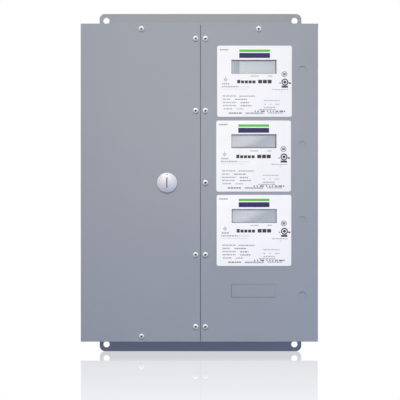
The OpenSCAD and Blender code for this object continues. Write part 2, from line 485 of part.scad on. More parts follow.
back_pan();
top_end_wall();
bottom_end_wall();
divider_mullion();
meter_cover();
blank_window_plate();
meter_cover_screws();
cover_clip_nuts();
door_clip_nuts();
faceplate_label_1();
faceplate_label_2();
faceplate_label_3();
display_lens_1();
display_lens_2();
display_lens_3();
lcd_bezels();
lcd_glass_1();
lcd_glass_2();
lcd_glass_3();
lcd_boards();
meter_chassis();
board_standoffs();
meter_board_1();
meter_board_2();
meter_board_3();
board_screws();
power_transformers();
board_capacitors();
board_chips();
plug_terminals();
meter_cables();
divider_grommets();
din_rail();
din_rail_screws();
line_terminals();
neutral_terminal();
earth_terminal();
terminal_clamp_screws();
fuse_block();
fuse_clips();
fuses();
ct_terminal_strip();
ct_strip_screws();
line_wires();
ground_bar();
ground_bar_screws();
ground_stud();
hinge_body_leaf();
hinge_pin();
hinge_door_leaf();
door_panel();
door_stiffener();
door_captive_screws();
wiring_label();
latch_bushing();
latch_nut();
latch_head();
latch_cam();
cam_washer();
cam_screw();
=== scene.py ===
"""Looks for the wall-mounted submeter enclosure: materials on the CAD frame, printed faceplates, studio."""
import math
import random

import bmesh
import bpy
from mathutils import Matrix, Vector


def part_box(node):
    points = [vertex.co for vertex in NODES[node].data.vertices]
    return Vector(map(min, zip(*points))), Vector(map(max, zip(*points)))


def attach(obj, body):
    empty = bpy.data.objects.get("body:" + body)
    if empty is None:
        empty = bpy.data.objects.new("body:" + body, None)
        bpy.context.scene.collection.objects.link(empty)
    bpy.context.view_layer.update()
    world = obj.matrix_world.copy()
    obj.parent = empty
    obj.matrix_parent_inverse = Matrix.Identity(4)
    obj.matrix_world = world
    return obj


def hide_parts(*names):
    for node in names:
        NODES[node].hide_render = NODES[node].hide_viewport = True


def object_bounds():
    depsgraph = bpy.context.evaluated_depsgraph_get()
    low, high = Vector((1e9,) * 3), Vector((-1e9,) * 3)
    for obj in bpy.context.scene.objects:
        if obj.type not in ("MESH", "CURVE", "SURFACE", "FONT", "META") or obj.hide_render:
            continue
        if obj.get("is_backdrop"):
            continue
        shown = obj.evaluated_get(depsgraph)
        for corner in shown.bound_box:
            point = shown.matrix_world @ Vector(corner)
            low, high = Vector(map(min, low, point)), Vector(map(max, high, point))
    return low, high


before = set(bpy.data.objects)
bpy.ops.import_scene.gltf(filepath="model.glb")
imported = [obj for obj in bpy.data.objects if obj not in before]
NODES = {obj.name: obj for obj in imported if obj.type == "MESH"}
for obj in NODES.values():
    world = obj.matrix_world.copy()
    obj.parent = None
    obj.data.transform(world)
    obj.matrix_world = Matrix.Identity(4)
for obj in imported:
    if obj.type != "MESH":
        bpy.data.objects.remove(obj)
cad_lo, cad_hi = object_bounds()
scene = bpy.context.scene
MM = 0.001


def srgb(r, g, b):
    """0-255 display colour to linear."""
    def f(c):
        c /= 255.0
        return c / 12.92 if c <= 0.04045 else ((c + 0.055) / 1.055) ** 2.4
    return (f(r), f(g), f(b), 1.0)


# ------------------------------------------------------------------ camera
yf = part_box("meter_cover")[0].y           # front plane of the covers
centre_z = 0.0
cam_data = bpy.data.cameras.new("camera")
cam_data.sensor_width = 36.0
cam_data.lens = 192.42
cam_data.clip_start, cam_data.clip_end = 0.05, 60.0
cam = bpy.data.objects.new("camera", cam_data)
scene.collection.objects.link(cam)
cam.location = (-0.00075, yf - 3.2, centre_z)
aim = Vector((-0.00075, yf, -0.0259))
cam.rotation_mode = "QUATERNION"
cam.rotation_quaternion = (aim - cam.location).to_track_quat("-Z", "Y")
scene.camera = cam


# ------------------------------------------------------------------ material helpers
class Tree:
    def __init__(self, name):
        self.m = bpy.data.materials.new(name)
        self.m.use_nodes = True
        self.t = self.m.node_tree
        self.n = self.t.nodes
        self.p = next(k for k in self.n if k.type == "BSDF_PRINCIPLED")
        self.out = next(k for k in self.n if k.type == "OUTPUT_MATERIAL")
        self._co = None

    def node(self, kind, **kw):
        k = self.n.new(kind)
        for a, v in kw.items():
            if a in k.inputs.keys():
                k.inputs[a].default_value = v
            else:
                setattr(k, a, v)
        return k

    def link(self, a, b):
        self.t.links.new(a, b)

    def co(self, scale=(1, 1, 1), loc=(0, 0, 0), rot=(0, 0, 0)):
        if self._co is None:
            self._co = self.n.new("ShaderNodeTexCoord")
        mp = self.n.new("ShaderNodeMapping")
        mp.inputs["Scale"].default_value = scale
        mp.inputs["Location"].default_value = loc
        mp.inputs["Rotation"].default_value = rot
        self.link(self._co.outputs["Object"], mp.inputs["Vector"])
        return mp.outputs["Vector"]

    def noise(self, scale, detail=3.0, rough=0.5, co=None, kind="noise"):
        if kind == "voronoi":
            k = self.n.new("ShaderNodeTexVoronoi")
            k.inputs["Scale"].default_value = scale
            self.link(co or self.co(), k.inputs["Vector"])
            return k.outputs["Distance"]
        k = self.n.new("ShaderNodeTexNoise")
        k.inputs["Scale"].default_value = scale
        k.inputs["Detail"].default_value = detail
        k.inputs["Roughness"].default_value = rough
        self.link(co or self.co(), k.inputs["Vector"])
        return k.outputs["Fac"]

    def ramp(self, fac, stops):
        k = self.n.new("ShaderNodeValToRGB")
        el = k.color_ramp.elements
        while len(el) < len(stops):
            el.new(0.5)
        for e, (pos, col) in zip(el, stops):
            e.position = pos
            e.color = col if len(col) == 4 else (*col, 1.0)
        self.link(fac, k.inputs["Fac"])
        return k.outputs["Color"]

    def span(self, fac, lo, hi, flo=0.0, fhi=1.0):
        k = self.n.new("ShaderNodeMapRange")
        k.inputs["From Min"].default_value = flo
        k.inputs["From Max"].default_value = fhi
        k.inputs["To Min"].default_value = lo
        k.inputs["To Max"].default_value = hi
        self.link(fac, k.inputs["Value"])
        return k.outputs["Result"]

    def math(self, op, a, b=None):
        k = self.n.new("ShaderNodeMath")
        k.operation = op
        for i, v in enumerate((a, b)):
            if v is None:
                continue
            if isinstance(v, (int, float)):
                k.inputs[i].default_value = v
            else:
                self.link(v, k.inputs[i])
        return k.outputs[0]

    def mix(self, fac, a, b, blend="MIX"):
        k = self.n.new("ShaderNodeMix")
        k.data_type = "RGBA"
        k.blend_type = blend
        for name, v in (("Factor", fac), ("A", a), ("B", b)):
            sock = next(s for s in k.inputs if s.name == name and s.type == ("VALUE" if name == "Factor" else "RGBA"))
            if isinstance(v, (int, float)):
                sock.default_value = v
            elif isinstance(v, tuple):
                sock.default_value = v if len(v) == 4 else (*v, 1.0)
            else:
                self.link(v, sock)
        return next(s for s in k.outputs if s.type == "RGBA")

    def bump(self, height, strength, distance, normal=None):
        k = self.n.new("ShaderNodeBump")
        k.inputs["Strength"].default_value = strength
        k.inputs["Distance"].default_value = distance
        self.link(height, k.inputs["Height"])
        if normal is not None:
            self.link(normal, k.inputs["Normal"])
        return k.outputs["Normal"]


def shade(c, k):
    return (min(c[0] * k, 1), min(c[1] * k, 1), min(c[2] * k, 1), 1.0)


def painted(name, base, rough=0.42):
    """Powder coat: orange peel, fine speckle, slow drift of tone."""
    T = Tree(name)
    slow = T.noise(7.0, 2.0)
    fine = T.noise(1400.0, 2.0)
    col = T.ramp(slow, [(0.3, shade(base, 0.975)), (0.7, shade(base, 1.02))])
    col = T.mix(0.08, col, T.ramp(fine, [(0.35, shade(base, 0.8)), (0.65, shade(base, 1.15))]))
    T.link(col, T.p.inputs["Base Color"])
    T.link(T.span(T.noise(60.0, 4.0), rough - 0.04, rough + 0.06), T.p.inputs["Roughness"])
    peel = T.noise(420.0, 2.0, 0.45)
    n = T.bump(peel, 0.25, 0.00012)
    n = T.bump(fine, 0.12, 0.00003, n)
    T.link(n, T.p.inputs["Normal"])
    T.p.inputs["Specular IOR Level"].default_value = 0.45
    return T.m


def plastic(name, base, rough=0.45, grain=900.0, depth=0.00004, spec=0.5, coat=0.0, drift=0.08):
    T = Tree(name)
    slow = T.noise(40.0, 3.0)
    T.link(T.ramp(slow, [(0.3, shade(base, 1 - drift)), (0.7, shade(base, 1 + drift * 0.7))]), T.p.inputs["Base Color"])
    T.link(T.span(T.noise(120.0, 4.0), rough - 0.05, rough + 0.07), T.p.inputs["Roughness"])
    T.link(T.bump(T.noise(grain, 2.0), 0.3, depth), T.p.inputs["Normal"])
    T.p.inputs["Specular IOR Level"].default_value = spec
    T.p.inputs["Coat Weight"].default_value = coat
    return T.m


def metal(name, base, rough=0.3, stretch=(1, 1, 1), grain=500.0, depth=0.00002, spots=0.0, tint=None, metallic=1.0):
    """Plated or bare metal with brushed or cast grain and faint dulling."""
    T = Tree(name)
    co = T.co(scale=stretch)
    g = T.noise(grain, 4.0, 0.6, co)
    dull = T.noise(25.0, 4.0)
    a = shade(base, 0.86)
    b = shade(base, 1.06)
    col = T.ramp(g, [(0.3, a), (0.7, b)])
    if tint:
        col = T.mix(T.span(dull, 0.0, 0.45, 0.45, 0.75), col, tint)
    if spots:
        v = T.node("ShaderNodeTexVoronoi")
        v.inputs["Scale"].default_value = spots
        T.link(T.co(), v.inputs["Vector"])
        col = T.mix(0.22, col, v.outputs["Color"], "SOFT_LIGHT")
    T.link(col, T.p.inputs["Base Color"])
    T.p.inputs["Metallic"].default_value = metallic
    T.link(T.span(dull, rough - 0.06, rough + 0.12, 0.3, 0.7), T.p.inputs["Roughness"])
    T.link(T.bump(g, 0.35, depth), T.p.inputs["Normal"])
    return T.m


def seam_shaded(name, base, shade_colour, y_face, half):
    """Painted sheet with painted shade: a dark strip along the front flange, where it shows through the seam between
    the covers.
    """
    m = painted(name, base, 0.46)
    t = m.node_tree
    p = next(k for k in t.nodes if k.type == "BSDF_PRINCIPLED")
    co = t.nodes.new("ShaderNodeTexCoord")
    sep = t.nodes.new("ShaderNodeSeparateXYZ")
    t.links.new(co.outputs["Object"], sep.inputs[0])

    def math_node(op, a, b):
        k = t.nodes.new("ShaderNodeMath")
        k.operation = op
        for i, v in enumerate((a, b)):
            if isinstance(v, (int, float)):
                k.inputs[i].default_value = v
            else:
                t.links.new(v, k.inputs[i])
        return k.outputs[0]
    # painted shade: darkens the flange face seen through the seam between the two covers
    near = math_node("LESS_THAN", math_node("ABSOLUTE", sep.outputs["X"], 0.0), half)
    front = math_node("LESS_THAN", sep.outputs["Y"], y_face)
    seam_shade_mask = math_node("MULTIPLY", near, front)
    nz = t.nodes.new("ShaderNodeTexNoise")
    nz.inputs["Scale"].default_value = 900.0
    t.links.new(co.outputs["Object"], nz.inputs["Vector"])
    rr = t.nodes.new("ShaderNodeValToRGB")
    rr.color_ramp.elements[0].position, rr.color_ramp.elements[0].color = 0.35, shade(shade_colour, 0.85)
    rr.color_ramp.elements[1].position, rr.color_ramp.elements[1].color = 0.65, shade(shade_colour, 1.12)
    t.links.new(nz.outputs["Fac"], rr.inputs["Fac"])
    mx = t.nodes.new("ShaderNodeMix")
    mx.data_type = "RGBA"
    old = p.inputs["Base Color"].links[0].from_socket
    ins = [k for k in mx.inputs if k.type == "RGBA"]
    t.links.new(seam_shade_mask, next(k for k in mx.inputs if k.name == "Factor" and k.type == "VALUE"))
    t.links.new(old, ins[0])
    t.links.new(rr.outputs["Color"], ins[1])
    t.links.new(next(k for k in mx.outputs if k.type == "RGBA"), p.inputs["Base Color"])
    return m


PAINT = srgb(158, 162, 169)
mats = {
    "paint": painted("powder_coat_grey", (0.300, 0.318, 0.348, 1)),
    # the divider's front flange carries a painted shadow strip behind the cover seam
    "paint_seam": seam_shaded("powder_coat_grey_seam_shade", (0.300, 0.318, 0.348, 1), (0.145, 0.154, 0.170, 1), yf + 0.0017, 0.0085),
    "zinc": metal("zinc_screw", (0.80, 0.80, 0.80, 1), 0.42, grain=1600, depth=0.00001, tint=(0.66, 0.65, 0.63, 1), metallic=0.35),
    # painted shade: a dark copy of the zinc for the inside of the cross recesses, standing in for the shade in the
    # hollow
    "recess": metal("zinc_screw_recess_shade", (0.16, 0.155, 0.15, 1), 0.55, grain=1600, depth=0.00001, metallic=0.6),
    "phosphate": metal("phosphate_spring_steel", (0.14, 0.14, 0.13, 1), 0.48, grain=1800, depth=0.00002),
    # one white label stock in three copies: labels 2 and 3 are painted lighter (label 3 the most, and less blue) to
    # make up for the light falling off towards the bottom of the box
    "label": plastic("label_white_1", (0.83, 0.82, 0.83, 1), 0.38, grain=1500, depth=0.000008, spec=0.4, drift=0.012),
    "label2": plastic("label_white_lifted_2", (0.845, 0.845, 0.835, 1), 0.38, grain=1500, depth=0.000008, spec=0.4, drift=0.012),
    "label3": plastic("label_white_lifted_3", (0.915, 0.90, 0.88, 1), 0.38, grain=1500, depth=0.000008, spec=0.4, drift=0.012),
    "black": plastic("moulded_black", (0.022, 0.022, 0.024, 1), 0.5, grain=1300),
    "galv": metal("galvanised_sheet", (0.60, 0.62, 0.64, 1), 0.38, grain=260, depth=0.00001, spots=55, tint=(0.42, 0.44, 0.46, 1)),
    "brass": metal("bare_brass", (0.80, 0.62, 0.30, 1), 0.30, stretch=(1, 8, 8), grain=300, depth=0.00001, tint=(0.50, 0.36, 0.16, 1)),
    "cap": plastic("capacitor_sleeve", (0.03, 0.04, 0.13, 1), 0.25, coat=0.4),
    "green": plastic("moulded_green", (0.06, 0.30, 0.09, 1), 0.35),
    "cable": plastic("vinyl_cable_jacket", (0.07, 0.075, 0.085, 1), 0.5, grain=700),
    "rubber": plastic("grommet_rubber", (0.02, 0.02, 0.02, 1), 0.7, grain=600, depth=0.00006),
    "grey_pl": plastic("polyamide_grey", (0.38, 0.40, 0.41, 1), 0.5, grain=1200),
    "blue_pl": plastic("polyamide_blue", (0.04, 0.11, 0.36, 1), 0.5, grain=1200),
    "ceramic": plastic("fuse_ceramic", (0.78, 0.75, 0.67, 1), 0.3, grain=500, depth=0.00001, coat=0.3),
    "wire": plastic("wire_jacket", (0.03, 0.03, 0.035, 1), 0.42, grain=900),
    "green_screw": metal("green_dyed_zinc", (0.16, 0.42, 0.20, 1), 0.32, grain=1500),
    "hinge": metal("hinge_zinc", (0.66, 0.66, 0.65, 1), 0.34, stretch=(1, 1, 0.15), grain=900, depth=0.00001, tint=(0.50, 0.49, 0.46, 1)),
    "nickel": metal("satin_nickel", (0.685, 0.685, 0.735, 1), 0.54, stretch=(1, 1, 1), grain=900, depth=0.000008, tint=(0.635, 0.635, 0.685, 1), metallic=0.22),
    # painted shade: a darkened copy of the nickel for the walls of the latch slot and the dot hole
    "slot": metal("latch_slot_shade", (0.25, 0.245, 0.24, 1), 0.55, grain=900, depth=0.000008, metallic=0.3),
}


def pcb():
    T = Tree("solder_mask_green")
    brick = T.n.new("ShaderNodeTexBrick")
    brick.inputs["Scale"].default_value = 180.0
    brick.inputs["Mortar Size"].default_value = 0.12
    brick.inputs["Color1"].default_value = (0.02, 0.13, 0.06, 1)
    brick.inputs["Color2"].default_value = (0.025, 0.16, 0.07, 1)
    brick.inputs["Mortar"].default_value = (0.04, 0.24, 0.11, 1)
    T.link(T.co(rot=(math.radians(90), 0, 0)), brick.inputs["Vector"])
    T.link(brick.outputs["Color"], T.p.inputs["Base Color"])
    T.link(T.bump(brick.outputs["Fac"], 0.3, 0.00003), T.p.inputs["Normal"])
    T.p.inputs["Roughness"].default_value = 0.28
    return T.m


mats["pcb"] = pcb()


def lens_mat():
    T = Tree("clear_polycarbonate")
    T.link(T.span(T.noise(30.0, 3.0), 0.03, 0.09), T.p.inputs["Roughness"])
    T.p.inputs["Base Color"].default_value = (0.93, 0.96, 0.97, 1)
    T.p.inputs["Alpha"].default_value = 0.10
    T.p.inputs["IOR"].default_value = 1.58
    T.m.surface_render_method = "BLENDED"
    return T.m


mats["lens"] = lens_mat()


def behind_lens(r, g, b):
    """Base colour that reads as the given display colour once it lies behind the clear window."""
    c = srgb(r, g, b)
    return tuple(max((v - o) / k, 0.01) for v, o, k in zip(c, (0.147, 0.152, 0.123), (0.823, 0.8355, 0.938)))


def lcd_mat(name, strip, painted_top_light=0.0, light_gain=0):
    """Switched-off reflective display: silvery glass whose colour carries painted reflection and shade; one has a
    darker streaked band at the left, the others a slanted sheen step and a lighter top edge.
    """
    T = Tree(name)
    co = T.n.new("ShaderNodeTexCoord")
    sep = T.n.new("ShaderNodeSeparateXYZ")
    T.link(co.outputs["Generated"], sep.inputs[0])
    X, Z = sep.outputs["X"], sep.outputs["Z"]
    if strip:
        # painted reflection: the darker streaked band at the left of the glass
        painted_band_tones = [(0.0, (190, 194, 199)), (1.7, (178, 184, 189)), (3.2, (190, 197, 203)), (4.6, (159, 170, 177)), (5.4, (172, 184, 191)), (6.3, (172, 184, 191)),
                 (7.6, (160, 172, 179)), (8.4, (170, 182, 189)), (9.6, (166, 178, 185)), (10.4, (151, 162, 169)), (11.2, (152, 163, 170)), (12.0, (190, 196, 202)),
                 (13.2, (200, 204, 211)), (40.0, (197, 202, 209)), (60.0, (195, 198, 205)), (67.0, (192, 194, 200))]
        col = T.ramp(X, [((1.4 + u) / 70.6, behind_lens(*c)) for u, c in painted_band_tones])
        # painted shade: darker along the bottom edge
        col = T.mix(T.span(Z, 0.25, 0.0, 0.0, 0.2), col, (*behind_lens(180, 184, 190), 1.0))
    else:
        # painted reflection: a slanted sheen step across the glass
        top = T.math("SUBTRACT", 1.0, Z)
        edge = T.math("SUBTRACT", 0.675, T.math("MULTIPLY", T.math("POWER", T.math("MAXIMUM", top, 0.0), 2.3), 0.54))
        u = T.span(T.math("SUBTRACT", X, edge), 0.0, 1.0, -0.65, 0.65)
        col = T.ramp(u, [((v + 0.65) / 1.3, behind_lens(*(q + light_gain for q in c))) for v, c in ((-0.62, (197, 200, 205)), (-0.34, (203, 207, 213)), (-0.16, (201, 204, 210)), (-0.04, (191, 195, 202)),
                                                                         (0.06, (182, 187, 195)), (0.15, (174, 180, 188)), (0.32, (175, 181, 189)), (0.6, (182, 187, 196)))])
        # painted light: lighter along the top edge, against the shadow under the window's top lip
        col = T.mix(T.span(Z, 0.0, painted_top_light, 0.76, 0.90), col, (*behind_lens(230, 233, 239), 1.0))
    T.link(col, T.p.inputs["Base Color"])
    T.link(T.span(T.noise(25.0, 3.0), 0.30, 0.38), T.p.inputs["Roughness"])
    T.link(T.bump(T.noise(2600.0, 1.0), 0.08, 0.00001), T.p.inputs["Normal"])
    T.p.inputs["Specular IOR Level"].default_value = 0.3
    return T.m


# the three glasses are one part; their different tones are painted light, shade and reflection
mats["lcd1"] = lcd_mat("lcd_grey_a", True)
mats["lcd2"] = lcd_mat("lcd_grey_b", False, 0.3)
mats["lcd3"] = lcd_mat("lcd_grey_c", False, 0.75, 4)

ASSIGN = {
    "paint": ["meter_cover", "door_panel", "back_pan", "top_end_wall", "bottom_end_wall", "blank_window_plate", "hinge_body_leaf", "hinge_door_leaf", "door_stiffener"],
    "paint_seam": ["divider_mullion"],
    "zinc": ["meter_cover_screws", "door_captive_screws", "din_rail_screws", "board_screws", "terminal_clamp_screws", "ct_strip_screws", "cam_screw"],
    "phosphate": ["cover_clip_nuts", "door_clip_nuts"],
    "label": ["faceplate_label_1", "wiring_label"], "label2": ["faceplate_label_2"], "label3": ["faceplate_label_3"],
    "lens": ["display_lens_1", "display_lens_2", "display_lens_3"],
    "black": ["lcd_bezels", "power_transformers", "board_chips", "fuse_block", "ct_terminal_strip"],
    "lcd1": ["lcd_glass_1"], "lcd2": ["lcd_glass_2"], "lcd3": ["lcd_glass_3"],
    "pcb": ["lcd_boards", "meter_board_1", "meter_board_2", "meter_board_3"],
    "galv": ["meter_chassis", "din_rail", "latch_cam", "cam_washer"],
    "brass": ["board_standoffs", "fuse_clips", "ground_bar", "ground_stud"],
    "cap": ["board_capacitors"], "green": ["plug_terminals", "earth_terminal"], "cable": ["meter_cables"],
    "rubber": ["divider_grommets"], "grey_pl": ["line_terminals"], "blue_pl": ["neutral_terminal"],
    "ceramic": ["fuses"], "wire": ["line_wires"], "green_screw": ["ground_bar_screws"],
    "hinge": ["hinge_pin"],
    "nickel": ["latch_bushing", "latch_nut", "latch_head"],
}
given = {}
for key, names in ASSIGN.items():
    for n in names:
        given[n] = key
missing = sorted(set(NODES) - set(given))
if missing:
    raise RuntimeError("no material for " + ", ".join(missing))
for n, o in NODES.items():
    o.data.materials.clear()
    o.data.materials.append(mats[given[n]])


def soften(node, width, segments=2, angle=35):
    """Small rounds on sheared and folded sheet edges."""
    o = NODES[node]
    w = o.modifiers.new("weld", "WELD")
    w.merge_threshold = 0.000004
    d = o.modifiers.new("planar", "DECIMATE")
    d.decimate_type = "DISSOLVE"
    d.angle_limit = math.radians(0.4)
    b = o.modifiers.new("round", "BEVEL")
    b.width = width * MM
    b.segments = segments
    b.limit_method = "ANGLE"
    b.angle_limit = math.radians(angle)
    b.use_clamp_overlap = False
    b.harden_normals = True
    b.miter_outer = "MITER_ARC"


for n, w in (("meter_cover", 0.22), ("door_panel", 0.22), ("back_pan", 0.3), ("top_end_wall", 0.25), ("bottom_end_wall", 0.25),
             ("blank_window_plate", 0.15), ("faceplate_label_1", 0.08), ("faceplate_label_2", 0.08), ("faceplate_label_3", 0.08)):
    soften(n, w)


# ------------------------------------------------------------------ turned pieces
def lathe(bm, prof, n=48, at=(0, 0, 0)):
    """Closed solid of revolution about an axis along -Y; prof is (radius, height) in mm from the seat up."""
    rings = []
    for r, h in prof:
        if r < 1e-6:
            rings.append([bm.verts.new(((at[0]) * MM, (at[1] - h) * MM, (at[2]) * MM))])
        else:
            rings.append([bm.verts.new(((at[0] + r * math.cos(2 * math.pi * i / n)) * MM, (at[1] - h) * MM,
                                        (at[2] + r * math.sin(2 * math.pi * i / n)) * MM)) for i in range(n)])
    faces = []
    for a, b in zip(rings, rings[1:]):
        for i in range(n):
            j = (i + 1) % n
            if len(a) == 1 and len(b) == 1:
                continue
            if len(a) == 1:
                faces.append(bm.faces.new((a[0], b[i], b[j])))
            elif len(b) == 1:
                faces.append(bm.faces.new((a[i], b[0], a[j])))
            else:
                faces.append(bm.faces.new((a[i], b[i], b[j], a[j])))
    return faces


def mesh_object(name, bm, mats_list, smooth=35):
    bmesh.ops.recalc_face_normals(bm, faces=bm.faces)
    if bm.calc_volume(signed=True) < 0:
        bmesh.ops.reverse_faces(bm, faces=bm.faces)
    me = bpy.data.meshes.new(name)
    bm.to_mesh(me)
    bm.free()
    for m in mats_list:
        me.materials.append(m)
    if smooth:
        me.shade_smooth()
        me.set_sharp_from_angle(angle=math.radians(smooth))
    o = bpy.data.objects.new(name, me)
    scene.collection.objects.link(o)
    return o


def evaluated(o, name=None):
    """Mesh of an object with its modifiers applied; the helper object goes."""
    dg = bpy.context.evaluated_depsgraph_get()
    me = bpy.data.meshes.new_from_object(o.evaluated_get(dg), preserve_all_data_layers=False, depsgraph=dg)
    me.name = name or o.name
    return me


def drop(*objs):
    for o in objs:
        bpy.data.objects.remove(o, do_unlink=True)


def cross_cutter(r, w, depth, top, flare=1.25):
    """Tapered cross recess with a wider middle; mouth at height top, all in mm."""
    bm = bmesh.new()
    f = flare * w / 2 + 0.25
    def ring(k, h):
        rr, ww, ff = r * k, w / 2 * (0.55 + 0.45 * k), f * k
        pts = []
        for q in range(4):
            a = math.radians(90 * q)
            for x, z in ((rr, -ww), (rr, ww), (ff * 1.15, ww * 1.05), (ff, ff)):
                pts.append((x * math.cos(a) - z * math.sin(a), x * math.sin(a) + z * math.cos(a)))
        return [bm.verts.new((x * MM, -h * MM, z * MM)) for x, z in pts]
    rings = [ring(1.12, top + 0.4), ring(1.0, top - 0.15), ring(0.72, top - depth * 0.62), ring(0.30, top - depth)]
    n = len(rings[0])
    bm.faces.new(rings[0])
    bm.faces.new(rings[-1][::-1])
    for a, b in zip(rings, rings[1:]):
        for i in range(n):
            j = (i + 1) % n
            bm.faces.new((a[i], b[i], b[j], a[j]))
    return mesh_object("cutter", bm, [mats["recess"]], smooth=0)


def thread(length, r=2.05, root=1.72, pitch=0.7, lead=1.2):
    """Profile of a threaded shank below the seat, tip first."""
    pts = [(0, -length), (r * 0.62, -length)]
    h = -length + 0.35
    while h < -lead:
        pts += [(root, h), (r, h + pitch * 0.42), (r, h + pitch * 0.56)]
        h += pitch
    pts += [(root, min(h, -lead + pitch * 0.4)), (r * 0.97, -lead + pitch * 0.7), (r * 0.97, -0.02)]
    return pts


def pan_head(length):
    """One cross-recess pan head screw, seated at the origin, head towards -Y."""
    bm = bmesh.new()
    k = 4.1 / 4.1
    lathe(bm, thread(length) + [ (3.92 * k, 0.0), (4.05 * k, 0.12), (4.1 * k, 0.4), (4.09 * k, 0.75), (4.0 * k, 1.15), (3.84 * k, 1.52),
               (3.6 * k, 1.86), (3.25 * k, 2.18), (2.8 * k, 2.42), (2.25 * k, 2.59), (1.6 * k, 2.69), (0.8 * k, 2.74), (0, 2.75)], 56)
    head = mesh_object("head_blank", bm, [mats["zinc"], mats["recess"]])
    cut = cross_cutter(2.15, 1.05, 1.9, 2.7)
    b = head.modifiers.new("recess", "BOOLEAN")
    b.operation = "DIFFERENCE"
    b.solver = "EXACT"
    b.object = cut
    b.material_mode = "TRANSFER"
    me = evaluated(head, "pan_head")
    drop(head, cut)
    return me


def scatter(name, src, places, body, replaced, turn_seed):
    """Copies of one turned mesh joined into one piece."""
    rnd = random.Random(turn_seed)
    bm = bmesh.new()
    for x, y, z in places:
        tmp = bmesh.new()
        tmp.from_mesh(src)
        tmp.transform(Matrix.Translation((x, y, z)) @ Matrix.Rotation(rnd.uniform(0, math.pi / 2), 4, "Y"))
        me = bpy.data.meshes.new("part")
        tmp.to_mesh(me)
        tmp.free()
        bm.from_mesh(me)
        bpy.data.meshes.remove(me)
    me = bpy.data.meshes.new(name)
    bm.to_mesh(me)
    bm.free()
    for m in src.materials:
        me.materials.append(m)
    me.shade_smooth()
    me.set_sharp_from_angle(angle=math.radians(35))
    o = bpy.data.objects.new(name, me)
    scene.collection.objects.link(o)
    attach(o, body)
    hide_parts(replaced)
    return o


def islands(node):
    """Centre and box of every separate solid of a node, in metres."""
    me = NODES[node].data
    key = {}
    parent = list(range(len(me.vertices)))

    def find(a):
        while parent[a] != a:
            parent[a] = parent[parent[a]]
            a = parent[a]
        return a
    for v in me.vertices:
        k = tuple(round(c * 1e6 / 4) for c in v.co)
        if k in key:
            parent[find(v.index)] = find(key[k])
        else:
            key[k] = v.index
    for e in me.edges:
        parent[find(e.vertices[0])] = find(e.vertices[1])
    groups = {}
    for v in me.vertices:
        groups.setdefault(find(v.index), []).append(v.co)
    out = []
    for g in groups.values():
        lo = Vector((min(c.x for c in g), min(c.y for c in g), min(c.z for c in g)))
        hi = Vector((max(c.x for c in g), max(c.y for c in g), max(c.z for c in g)))
        out.append((lo, hi))
    out.sort(key=lambda b: (round(b[0].x, 4), round(b[0].z, 4), round(b[0].y, 4)))
    return out


for node, body, seed in (("meter_cover_screws", "enclosure", 5), ("door_captive_screws", "door", 9)):
    spots = []
    for lo, hi in islands(node):
        spots.append(((lo.x + hi.x) / 2, lo.y + 2.75 * MM, (lo.z + hi.z) / 2))
        reach = (hi.y - lo.y) / MM - 2.75
    scatter(node.replace("screws", "screw_set"), pan_head(reach), spots, body, node, seed)


def boolean(a, b, op):
    m = a.modifiers.new(op.lower(), "BOOLEAN")
    m.operation = op
    m.solver = "EXACT"
    m.object = b
    m.material_mode = "TRANSFER"


def stadium(w, h, y0, y1, m, cx=0.0, cz=0.0, n=10):
    """Upright round-ended bar between two heights in front of the door, in mm."""
    bm = bmesh.new()
    pts = []
    for sz, a0 in ((1, 0), (-1, 180)):
        for i in range(n + 1):
            a = math.radians(a0 + 180 * i / n)
            pts.append((cx + w / 2 * math.cos(a), cz + sz * (h / 2 - w / 2) + w / 2 * math.sin(a)))
    f = [bm.verts.new((x * MM, y0 * MM, z * MM)) for x, z in pts]
    g = [bm.verts.new((x * MM, y1 * MM, z * MM)) for x, z in pts]
    bm.faces.new(f)
    bm.faces.new(g[::-1])
    for i in range(len(pts)):
        j = (i + 1) % len(pts)
        bm.faces.new((f[i], f[j], g[j], g[i]))
    return mesh_object("bar", bm, [m], smooth=0)


